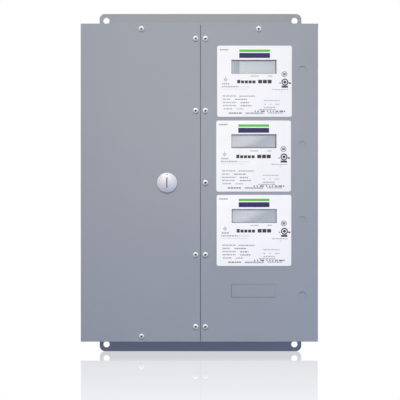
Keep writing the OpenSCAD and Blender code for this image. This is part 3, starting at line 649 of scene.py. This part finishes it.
def latch_face():
    """Domed latch head with a lipped slot and a position dot, plus its neck."""
    lo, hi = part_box("latch_head")
    cx, cz = (lo.x + hi.x) / 2 / MM, (lo.z + hi.z) / 2 / MM
    top = lo.y / MM
    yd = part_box("door_panel")[0].y / MM
    R, seat = (hi.x - lo.x) / 2 / MM, 1.35
    H = yd - top
    rs = (R * R + (H - 1.75) ** 2) / (2 * (H - 1.75))

    def dome(extra, r1):
        out = []
        for i in range(15):
            r = r1 * (1 - i / 14)
            out.append((r, H + extra - (rs - math.sqrt(max(rs * rs - r * r, 0)))))
        return out
    bm = bmesh.new()
    lathe(bm, [(0, seat), (R - 0.5, seat), (R - 0.12, seat + 0.08), (R, seat + 0.2), (R, 1.64), (R - 0.10, 1.84)] + dome(0, R - 0.25), 96, (cx, yd, cz))
    body = mesh_object("latch_blank", bm, [mats["nickel"], mats["slot"]])
    bm = bmesh.new()
    lathe(bm, [(0, 1.5), (R - 2, 1.5)] + dome(0.22, R - 2.01), 96, (cx, yd, cz))
    lip = mesh_object("lip_blank", bm, [mats["nickel"]])
    rim = stadium(4.7, 19.2, yd - 1.0, yd - H - 3, mats["nickel"], cx, cz)
    boolean(lip, rim, "INTERSECT")
    lipm = evaluated(lip, "lip")
    lip2 = bpy.data.objects.new("lip2", lipm)
    scene.collection.objects.link(lip2)
    boolean(body, lip2, "UNION")
    # slot and dot walls take the darkened nickel: painted shade in the hollows
    slot = stadium(1.85, 16.2, yd - H - 3, yd - 3.6, mats["slot"], cx - 0.1, cz)
    boolean(body, slot, "DIFFERENCE")
    dot = stadium(1.7, 1.71, yd - H - 3, yd - 2.4, mats["slot"], cx, cz + 12.1)
    boolean(body, dot, "DIFFERENCE")
    bpy.context.view_layer.update()
    me = evaluated(body, "latch_face")
    drop(body, lip, lip2, rim, slot, dot)
    me.shade_smooth()
    me.set_sharp_from_angle(angle=math.radians(40))
    # neck behind the head, kept as in the frame
    src = NODES["latch_head"].data
    bm = bmesh.new()
    bm.from_mesh(me)
    base = bmesh.new()
    n = 48
    lathe(base, [(0, -(hi.y / MM - yd)), (1.9, -(hi.y / MM - yd))] + [(1.9, -(hi.y / MM - yd) + 0.3), (4.0, -(hi.y / MM - yd) + 0.31), (4.0, -11.2), (5.7, -11.2),
                 (6.0, -10.9), (6.0, -3.0), (5.7, -2.8), (5.7, -2.2), (6.0, -2.0), (6.0, seat), (0, seat)], n, (cx, yd, cz))
    tmp = bpy.data.meshes.new("neck")
    base.to_mesh(tmp)
    base.free()
    bm.from_mesh(tmp)
    bpy.data.meshes.remove(tmp)
    bm.to_mesh(me)
    bm.free()
    o = bpy.data.objects.new("latch_face", me)
    scene.collection.objects.link(o)
    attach(o, "latch")
    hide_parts("latch_head")
    return o


latch_face()


# ------------------------------------------------------------------ printed faceplates
def rounded(w, h, r, n=5):
    r = min(r, w / 2 - 1e-6, h / 2 - 1e-6)
    pts = []
    for sx, sz, a0 in ((1, 1, 0), (-1, 1, 90), (-1, -1, 180), (1, -1, 270)):
        cx, cz = sx * (w / 2 - r), sz * (h / 2 - r)
        for i in range(n + 1):
            a = math.radians(a0 + 90 * i / n)
            pts.append((cx + r * math.cos(a), cz + r * math.sin(a)))
    return pts


class Print:
    """Thin raised ink shapes on a face that looks along -Y, in millimetres."""

    def __init__(self, y):
        self.bm = bmesh.new()
        self.y0, self.y1 = y + 0.02, y - 0.03
        self.mats = []

    def slot(self, m):
        if m not in self.mats:
            self.mats.append(m)
        return self.mats.index(m)

    def outline(self, pts, m, hole=None):
        k = self.slot(m)
        f = [self.bm.verts.new((x * MM, self.y1 * MM, z * MM)) for x, z in pts]
        b = [self.bm.verts.new((x * MM, self.y0 * MM, z * MM)) for x, z in pts]
        n = len(pts)
        if hole is None:
            faces = [self.bm.faces.new(f), self.bm.faces.new(b[::-1])]
            for i in range(n):
                j = (i + 1) % n
                faces.append(self.bm.faces.new((f[j], f[i], b[i], b[j])))
        else:
            fi = [self.bm.verts.new((x * MM, self.y1 * MM, z * MM)) for x, z in hole]
            bi = [self.bm.verts.new((x * MM, self.y0 * MM, z * MM)) for x, z in hole]
            faces = []
            for i in range(n):
                j = (i + 1) % n
                faces.append(self.bm.faces.new((f[i], f[j], fi[j], fi[i])))
                faces.append(self.bm.faces.new((b[j], b[i], bi[i], bi[j])))
                faces.append(self.bm.faces.new((f[j], f[i], b[i], b[j])))
                faces.append(self.bm.faces.new((fi[i], fi[j], bi[j], bi[i])))
        for q in faces:
            q.material_index = k

    def bar(self, x0, x1, z, h, m, r=None):
        pts = rounded(x1 - x0, h, h * 0.42 if r is None else r)
        self.outline([((x0 + x1) / 2 + x, z + q) for x, q in pts], m)

    def ring(self, x, z, r, t, m, n=36):
        o = [(x + r * math.cos(2 * math.pi * i / n), z + r * math.sin(2 * math.pi * i / n)) for i in range(n)]
        h = [(x + (r - t) * math.cos(2 * math.pi * i / n), z + (r - t) * math.sin(2 * math.pi * i / n)) for i in range(n)]
        self.outline(o, m, h)

    def frame(self, x, z, w, h, t, m, r=0.6):
        self.outline([(x + a, z + b) for a, b in rounded(w, h, r)], m, [(x + a, z + b) for a, b in rounded(w - 2 * t, h - 2 * t, max(r - t, 0.1))])

    def poly(self, pts, m):
        self.outline(pts, m)

    def done(self, name, body):
        bmesh.ops.recalc_face_normals(self.bm, faces=self.bm.faces)
        me = bpy.data.meshes.new(name)
        self.bm.to_mesh(me)
        self.bm.free()
        for m in self.mats:
            me.materials.append(m)
        o = bpy.data.objects.new(name, me)
        scene.collection.objects.link(o)
        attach(o, body)
        return o


def ink(name, base, rough=0.35):
    T = Tree(name)
    T.link(T.ramp(T.noise(900.0, 2.0), [(0.3, shade(base, 0.96)), (0.7, shade(base, 1.04))]), T.p.inputs["Base Color"])
    T.link(T.span(T.noise(300.0, 2.0), rough - 0.05, rough + 0.08), T.p.inputs["Roughness"])
    T.link(T.bump(T.noise(2500.0, 1.0), 0.1, 0.000005), T.p.inputs["Normal"])
    return T.m


ink_black = ink("ink_black", (0.03, 0.03, 0.033, 1))
ink_navy = ink("ink_navy", (0.022, 0.016, 0.085, 1))
ink_green = ink("ink_green", (0.10, 0.50, 0.045, 1))
ink_mid = ink("ink_mid_grey", (0.22, 0.22, 0.24, 1))
ink_pale = ink("ink_pale_grey", (0.42, 0.42, 0.45, 1))
# painted shadow for the display window edges, made as dark ink
ink_edge_shade = ink("display_edge_shade", (0.035, 0.036, 0.04, 1))
ink_faint = ink("ink_faint_grey", (0.64, 0.64, 0.67, 1))


def words(P, x0, x1, z, h, m, seed, long=4.5, short=1.6, gap=0.8):
    """A line of small print kept as plain dashes."""
    rnd = random.Random(seed)
    x = x0
    while x < x1 - 0.6:
        w = min(rnd.uniform(short, long), x1 - x)
        if w > 0.5:
            P.bar(x, x + w, z, h, m)
        x += w + gap


def blocks(P, x0, x1, z, heights, m, gap=1.1):
    """Row of plain blocks standing on one line."""
    w = (x1 - x0 + gap) / len(heights)
    for k, h in enumerate(heights):
        P.bar(x0 + k * w, x0 + (k + 1) * w - gap, z + h / 2, h, m, 0.35)


def faceplate_print(i):
    lo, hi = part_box("faceplate_label_%d" % (i + 1))
    x0, z1 = lo.x / MM, hi.z / MM
    P = Print(lo.y / MM)
    Px = lambda u: x0 + (u - 197) / 11.0          # crop units across: 11 to the millimetre
    Pz = lambda v: z1 - (v - 97) / 11.0
    # heading: two plain stripes
    P.bar(Px(560), Px(1066), Pz(258), 7.4, ink_navy, 0.5)
    P.bar(Px(560), Px(1066), Pz(180), 3.6, ink_green, 0.5)
    # corner note
    words(P, Px(240), Px(380), Pz(164), 1.75, ink_mid, 11 + i, 3.5, 2.0, 0.6)
    # captions under the window
    P.bar(Px(752), Px(888), Pz(597), 1.3, ink_pale)
    P.bar(Px(1032), Px(1108), Pz(597), 1.3, ink_pale)
    # title
    blocks(P, Px(527), Px(828), Pz(688) - 2.6, (5.2, 4.3, 4.3, 4.3, 4.3), ink_black)
    blocks(P, Px(872), Px(1093), Pz(688) - 2.6, (5.2, 5.2, 5.2), ink_black)
    # ring marks at the right
    P.ring(Px(1303), Pz(566), 4.3, 1.0, ink_mid)
    P.bar(Px(1303) - 2.2, Px(1303) + 2.2, Pz(566), 3.8, ink_mid, 0.3)
    P.ring(Px(1312), Pz(696), 5.2, 1.75, ink_black)
    P.bar(Px(1312) - 2.2, Px(1312) + 2.2, Pz(696), 4.4, ink_black, 2.1)
    P.bar(Px(1372), Px(1412), Pz(713), 2.3, ink_black)
    P.bar(Px(1218), Px(1246), Pz(713), 1.6, ink_mid)
    P.bar(Px(1256), Px(1362), Pz(772), 3.0, ink_black, 0.8)
    words(P, Px(1105), Px(1366), Pz(819), 1.3, ink_pale, 21 + i, 5.0, 2.5, 0.7)
    P.bar(Px(1240), Px(1268), Pz(858), 1.6, ink_faint)
    # small diamond outline and its notes
    d = 3.0
    cx, cz = Px(335), Pz(655)
    P.outline([(cx + d, cz), (cx, cz + d), (cx - d, cz), (cx, cz - d)], ink_pale, [(cx + d - 1.8, cz), (cx, cz + d - 1.8), (cx - d + 1.8, cz), (cx, cz - d + 1.8)])
    P.bar(cx - 0.5, cx + 0.5, cz + 3.9, 1.0, ink_pale, 0.2)
    words(P, Px(277), Px(398), Pz(724), 2.5, ink_pale, 31 + i, 4.5, 2.0, 0.5)
    words(P, Px(272), Px(548), Pz(771), 2.1, ink_pale, 41 + i, 4.5, 1.6, 0.4)
    words(P, Px(556), Px(742), Pz(775), 1.2, ink_faint, 46 + i, 4.5, 1.6, 0.4)
    words(P, Px(282), Px(700), Pz(812), 0.8, ink_faint, 51 + i, 8, 4, 0.4)
    # data block, left
    rows = ((925, (288, 510), (560, 822)), (978, (290, 415), (490, 690)), (1032, (290, 520), (582, 720)), (1083, (290, 510), (582, 765)), (1136, (300, 445), (512, 636)))
    for k, (v, a, b) in enumerate(rows):
        words(P, Px(a[0]), Px(a[1]), Pz(v), 1.8, ink_pale, 61 + 7 * k + i, 6.0, 3.0, 0.55)
        words(P, Px(b[0]), Px(b[1]), Pz(v) - 0.2, 1.35 if k == 0 else 1.7, ink_mid if k < 4 else ink_pale, 62 + 7 * k + i, 4.0, 1.8, 0.55)
    # data block, right
    for k, (v, a, b) in enumerate(((1000, 965, 1235), (1060, 965, 1000), (1060, 1062, 1090), (1060, 1155, 1235), (1112, 965, 1155), (1148, 890, 1170))):
        words(P, Px(a), Px(b), Pz(v), 1.25 if k < 4 else 1.7, ink_pale, 101 + 5 * k + i, 6.0, 2.5, 0.6)
    # punched row of small square dots
    for k, n in enumerate((1, 1, 3, 1, 1, 1, 2, 3, 1)):
        for j in range(n):
            x = Px(822 + (0, 42, 92, 178, 222, 262, 306, 360, 424)[k] * 1.14 + j * 21)
            P.bar(x - 0.85, x + 0.85, Pz(1176), 1.9, ink_black, 0.25)
    # footer
    words(P, Px(387), Px(608), Pz(1206), 2.1, ink_mid, 141 + i, 4.5, 2.5, 0.5)
    words(P, Px(662), Px(972), Pz(1204), 1.2, ink_mid, 151 + i, 7.0, 4.0, 0.5)
    P.bar(Px(662), Px(972), Pz(1217), 0.4, ink_mid, 0.1)
    words(P, Px(1032), Px(1280), Pz(1204), 2.0, ink_pale, 161 + i, 4.0, 2.0, 0.4)
    return P.done("faceplate_print_%d" % (i + 1), "enclosure")


for i in range(3):
    faceplate_print(i)


def display_edge_shade(i, top, bottom, left, right):
    """Painted shadow: dark edge lines on the display glass where the window's edges shade it, each (start, end) in mm
    in from the window edge.
    """
    lo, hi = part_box("lcd_glass_%d" % (i + 1))
    cx, cz = (lo.x + hi.x) / 2 / MM, (lo.z + hi.z) / 2 / MM
    k = 1.0 + 0.0029 / 3.2
    ox = (-0.15, -0.15, 0.05)[i]
    x0, x1, z0, z1 = (cx + ox - 33.75) * k, (cx + ox + 33.75) * k, (cz - 10.5) * k, (cz + 10.5) * k
    P = Print(lo.y / MM)
    if top:
        P.bar(x0 - 0.6, x1 + 0.6, z1 - (top[0] + top[1]) / 2, top[1] - top[0], ink_edge_shade, 0.05)
    if bottom:
        P.bar(x0 - 0.6, x1 + 0.6, z0 + (bottom[0] + bottom[1]) / 2, bottom[1] - bottom[0], ink_edge_shade, 0.05)
    if left:
        P.bar(x0 + left[0], x0 + left[1], cz, 21.6, ink_edge_shade, 0.05)
    if right:
        P.bar(x1 - right[1], x1 - right[0], cz, 21.6, ink_edge_shade, 0.05)
    return P.done("display_border_%d" % (i + 1), "enclosure")


def end_caps():
    """Plated caps on the fuse ends."""
    bm = bmesh.new()
    spans = {}
    for lo, hi in islands("fuses"):
        spans.setdefault(round((lo.x + hi.x) / 2, 3), []).append((lo, hi))
    for cx, solids in spans.items():
        lo = Vector(min(p[0][a] for p in solids) for a in range(3))
        hi = Vector(max(p[1][a] for p in solids) for a in range(3))
        cy = (lo.y + hi.y) / 2
        r = (hi.x - lo.x) / 2 + 0.00012
        n = 32
        for s, z in ((1, hi.z), (-1, lo.z)):
            prof = [(0, 0.00012), (r * 0.80, 0.00012), (r * 0.94, -0.0002), (r, -0.0007), (r, -0.0082), (r * 0.985, -0.0084), (r * 0.985, -0.0088), (r, -0.0090), (r, -0.0100), (r * 0.96, -0.0102)]
            rings = []
            for q, h in prof:
                if q == 0:
                    rings.append([bm.verts.new((cx, cy, z + s * h))])
                else:
                    rings.append([bm.verts.new((cx + q * math.cos(2 * math.pi * i / n), cy + q * math.sin(2 * math.pi * i / n), z + s * h)) for i in range(n)])
            for a, b in zip(rings, rings[1:]):
                for i in range(n):
                    j = (i + 1) % n
                    if len(a) == 1:
                        bm.faces.new((a[0], b[i], b[j]))
                    else:
                        bm.faces.new((a[i], b[i], b[j], a[j]))
    o = mesh_object("fuse_end_caps", bm, [mats["zinc"]])
    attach(o, "enclosure")


end_caps()

# painted shadow lines along each display window's edges, set per display
display_edge_shade(0, (-0.5, 1.75), None, None, (0.65, 1.95))
display_edge_shade(1, (1.35, 1.95), (0.3, 1.6), None, (0.6, 2.1))
display_edge_shade(2, (-0.3, 0.75), (0.4, 0.9), (0.6, 1.3), (-0.3, 1.05))


def door_diagram():
    """Generic block diagram on the label inside the door, on the side that looks along +Y."""
    lo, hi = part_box("wiring_label")
    P = Print(hi.y / MM)
    P.y0, P.y1 = hi.y / MM - 0.02, hi.y / MM + 0.03
    x0, x1, z0, z1 = lo.x / MM, hi.x / MM, lo.z / MM, hi.z / MM
    P.frame((x0 + x1) / 2, (z0 + z1) / 2, x1 - x0 - 6, z1 - z0 - 6, 0.5, ink_mid, 1.5)
    P.bar(x0 + 8, x1 - 8, z1 - 9.5, 5.0, ink_navy, 0.6)
    for k in range(4):
        z = z1 - 24 - k * 15
        P.frame(x0 + 20, z, 18, 9, 0.5, ink_black, 0.8)
        P.frame(x1 - 20, z, 18, 9, 0.5, ink_black, 0.8)
        P.bar(x0 + 29, x1 - 29, z + 1.8, 0.5, ink_black, 0.1)
        P.bar(x0 + 29, x1 - 29, z - 1.8, 0.5, ink_black, 0.1)
        P.ring((x0 + x1) / 2, z + 1.8, 1.3, 0.5, ink_black, 20)
        words(P, x0 + 14, x0 + 26, z, 1.2, ink_mid, 300 + k)
        words(P, x1 - 26, x1 - 14, z, 1.2, ink_mid, 310 + k)
    for k in range(9):
        words(P, x0 + 8, x1 - 8 - (k % 3) * 6, z0 + 8 + k * 3.1, 1.1, ink_mid, 400 + k, 6, 2)
    return P.done("wiring_diagram_print", "door")


door_diagram()


# ------------------------------------------------------------------ studio
def emission_floor():
    T = Tree("studio_floor")
    T.n.remove(T.p)
    em = T.n.new("ShaderNodeEmission")
    em.inputs["Color"].default_value = (1, 1, 1, 1)
    em.inputs["Strength"].default_value = 1.0
    gl = T.n.new("ShaderNodeBsdfGlossy")
    gl.inputs["Roughness"].default_value = 0.03
    gl.inputs["Color"].default_value = (1, 1, 1, 1)
    mix = T.n.new("ShaderNodeMixShader")
    # the sheet curves up towards the viewer, so the front of the box shows right under the wall flange
    h, far, near = -cad_lo.z, -(yf - 3.2), 3.2
    start = far - h / (2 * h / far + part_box("meter_cover")[0].z / near)
    co0 = T.n.new("ShaderNodeTexCoord")
    sp0 = T.n.new("ShaderNodeSeparateXYZ")
    T.link(co0.outputs["Object"], sp0.inputs[0])
    depth = T.math("MAXIMUM", T.math("ADD", sp0.outputs["Y"], far), 0.5)
    down = T.math("DIVIDE", h, depth)
    rise = T.math("ADD", T.math("MULTIPLY", down, near), h - 2 * h * near / far)
    up = T.math("DIVIDE", rise, T.math("MAXIMUM", T.math("SUBTRACT", near, depth), 0.05))
    half_turn = T.math("MULTIPLY", T.math("SUBTRACT", T.math("ARCTANGENT", up), T.math("ARCTANGENT", down)), -0.5)
    inside = T.math("MULTIPLY", T.math("LESS_THAN", T.math("ABSOLUTE", sp0.outputs["X"]), 0.19), T.math("LESS_THAN", sp0.outputs["Y"], -start))
    nv = T.n.new("ShaderNodeCombineXYZ")
    nv.inputs["Z"].default_value = 1.0
    T.link(T.math("MULTIPLY", inside, T.math("TANGENT", half_turn)), nv.inputs["Y"])
    nn = T.n.new("ShaderNodeVectorMath")
    nn.operation = "NORMALIZE"
    T.link(nv.outputs[0], nn.inputs[0])
    T.link(nn.outputs[0], gl.inputs["Normal"])
    co = T.n.new("ShaderNodeTexCoord")
    sep = T.n.new("ShaderNodeSeparateXYZ")
    T.link(co.outputs["Object"], sep.inputs[0])
    dx = T.math("SUBTRACT", T.math("ABSOLUTE", sep.outputs["X"]), 0.19)
    dy = T.math("SUBTRACT", T.math("ABSOLUTE", T.math("ADD", sep.outputs["Y"], 0.05)), 0.05)
    dx, dy = T.math("MAXIMUM", dx, 0.0), T.math("MAXIMUM", dy, 0.0)
    d = T.math("SQRT", T.math("ADD", T.math("MULTIPLY", dx, dx), T.math("MULTIPLY", dy, dy)))
    f = T.ramp(d, [(v, (k,) * 3) for v, k in ((0.0, 0.41), (0.02, 0.39), (0.05, 0.36), (0.09, 0.34), (0.207, 0.305), (0.316, 0.286), (0.458, 0.245), (0.624, 0.20), (1.0, 0.0))])
    T.link(f, mix.inputs[0])
    T.link(em.outputs[0], mix.inputs[1])
    # painted tint: a faint blue glow added where the floor reflects, so the reflection is a little bluer than the box
    tint = T.n.new("ShaderNodeEmission")
    tint.inputs["Color"].default_value = (0.05, 0.05, 1.0, 1)
    tint.inputs["Strength"].default_value = 0.052
    add = T.n.new("ShaderNodeAddShader")
    T.link(gl.outputs[0], add.inputs[0])
    T.link(tint.outputs[0], add.inputs[1])
    T.link(add.outputs[0], mix.inputs[2])
    T.link(mix.outputs[0], T.out.inputs["Surface"])
    return T.m


def plane(name, corners, m):
    me = bpy.data.meshes.new(name)
    me.from_pydata(corners, [], [tuple(range(len(corners)))])
    me.materials.append(m)
    o = bpy.data.objects.new(name, me)
    scene.collection.objects.link(o)
    o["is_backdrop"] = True
    return o


fz = cad_lo.z
floor = plane("floor", [(-8, -8, fz), (8, -8, fz), (8, 8, fz), (-8, 8, fz)], emission_floor())
floor.visible_diffuse = False
floor.visible_glossy = False
floor.visible_shadow = False


def area(name, loc, target, size, power, color=(1, 1, 1), size_y=None):
    d = bpy.data.lights.new(name, "AREA")
    d.energy = power
    d.color = color
    d.shape = "RECTANGLE"
    d.size = size
    d.size_y = size_y or size
    o = bpy.data.objects.new(name, d)
    scene.collection.objects.link(o)
    o.location = loc
    o.rotation_mode = "QUATERNION"
    o.rotation_quaternion = (Vector(target) - Vector(loc)).to_track_quat("-Z", "Y")
    o.visible_camera = False
    return o


def spot(name, loc, target, angle, power, color=(1, 1, 1), radius=0.25):
    d = bpy.data.lights.new(name, "SPOT")
    d.energy = power
    d.color = color
    d.spot_size = math.radians(angle)
    d.spot_blend = 1.0
    d.shadow_soft_size = radius
    o = bpy.data.objects.new(name, d)
    scene.collection.objects.link(o)
    o.location = loc
    o.rotation_mode = "QUATERNION"
    o.rotation_quaternion = (Vector(target) - Vector(loc)).to_track_quat("-Z", "Y")
    o.visible_camera = False
    return o


area("key", (-0.3, yf - 2.5, 2.3), (0, yf, 0.0), 1.8, 71.8, (1.0, 0.986, 0.953), 1.3)
spot("key_feathered", (-0.2, yf - 2.6, 1.5), (0, yf, 0.12), 10, 173, (1.0, 0.896, 0.62))
area("side_left", (-2.3, 0.75, 0.9), (-0.18, -0.02, 0), 1.5, 45, (0.98, 0.99, 1.0))
area("side_right", (2.3, 0.75, 0.9), (0.18, -0.02, 0), 1.5, 45, (0.98, 0.99, 1.0))
area("rear", (0.4, 2.6, 1.1), (0, 0, 0), 1.6, 45, (0.98, 0.99, 1.0))
for name in ("side_left", "side_right", "rear"):
    bpy.data.objects[name].visible_glossy = False
area("cool_side", (0.75, yf - 0.9, -0.55), (0.12, yf, -0.15), 0.5, 3.46, (0.246, 0.483, 1.0), 0.5)

bpy.data.objects["cool_side"].visible_glossy = False
bpy.data.objects["key_feathered"].visible_glossy = False

world = bpy.data.worlds.new("studio")
scene.world = world
world.use_nodes = True
wt = world.node_tree
wt.nodes.clear()
wo = wt.nodes.new("ShaderNodeOutputWorld")
b_cam = wt.nodes.new("ShaderNodeBackground")
b_cam.inputs["Color"].default_value = (1, 1, 1, 1)
b_cam.inputs["Strength"].default_value = 1.0
b_env = wt.nodes.new("ShaderNodeBackground")
b_env.inputs["Strength"].default_value = 1.0
tc = wt.nodes.new("ShaderNodeTexCoord")
sp = wt.nodes.new("ShaderNodeSeparateXYZ")
wt.links.new(tc.outputs["Generated"], sp.inputs[0])
rp = wt.nodes.new("ShaderNodeValToRGB")
el = rp.color_ramp.elements
el[0].position, el[0].color = 0.0, (0.258, 0.281, 0.364, 1)
el[1].position, el[1].color = 1.0, (0.543, 0.514, 0.511, 1)
mid = el.new(0.5)
mid.color = (0.388, 0.40, 0.477, 1)
mr = wt.nodes.new("ShaderNodeMapRange")
mr.inputs["From Min"].default_value = -1.0
mr.inputs["From Max"].default_value = 1.0
wt.links.new(sp.outputs["Z"], mr.inputs["Value"])
wt.links.new(mr.outputs["Result"], rp.inputs["Fac"])
wt.links.new(rp.outputs["Color"], b_env.inputs["Color"])
lp = wt.nodes.new("ShaderNodeLightPath")
# polished surfaces see a pale room that darkens below the horizon
b_gl = wt.nodes.new("ShaderNodeBackground")
rg = wt.nodes.new("ShaderNodeValToRGB")
eg = rg.color_ramp.elements
eg[0].position, eg[0].color = 0.22, (0.22, 0.235, 0.28, 1)
eg[1].position, eg[1].color = 0.515, (1.0, 1.0, 1.0, 1)
mg = eg.new(0.44)
mg.color = (0.50, 0.52, 0.58, 1)
wt.links.new(mr.outputs["Result"], rg.inputs["Fac"])
wt.links.new(rg.outputs["Color"], b_gl.inputs["Color"])
w0 = wt.nodes.new("ShaderNodeMixShader")
wt.links.new(lp.outputs["Is Glossy Ray"], w0.inputs[0])
wt.links.new(b_env.outputs[0], w0.inputs[1])
wt.links.new(b_gl.outputs[0], w0.inputs[2])
wm = wt.nodes.new("ShaderNodeMixShader")
wt.links.new(lp.outputs["Is Camera Ray"], wm.inputs[0])
wt.links.new(w0.outputs[0], wm.inputs[1])
wt.links.new(b_cam.outputs[0], wm.inputs[2])
wt.links.new(wm.outputs[0], wo.inputs["Surface"])

scene.view_settings.view_transform = "Standard"
scene.view_settings.look = "None"
scene.view_settings.exposure = 0.0
scene.view_settings.gamma = 1.0

# ------------------------------------------------------------------ finish
lo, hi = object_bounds()
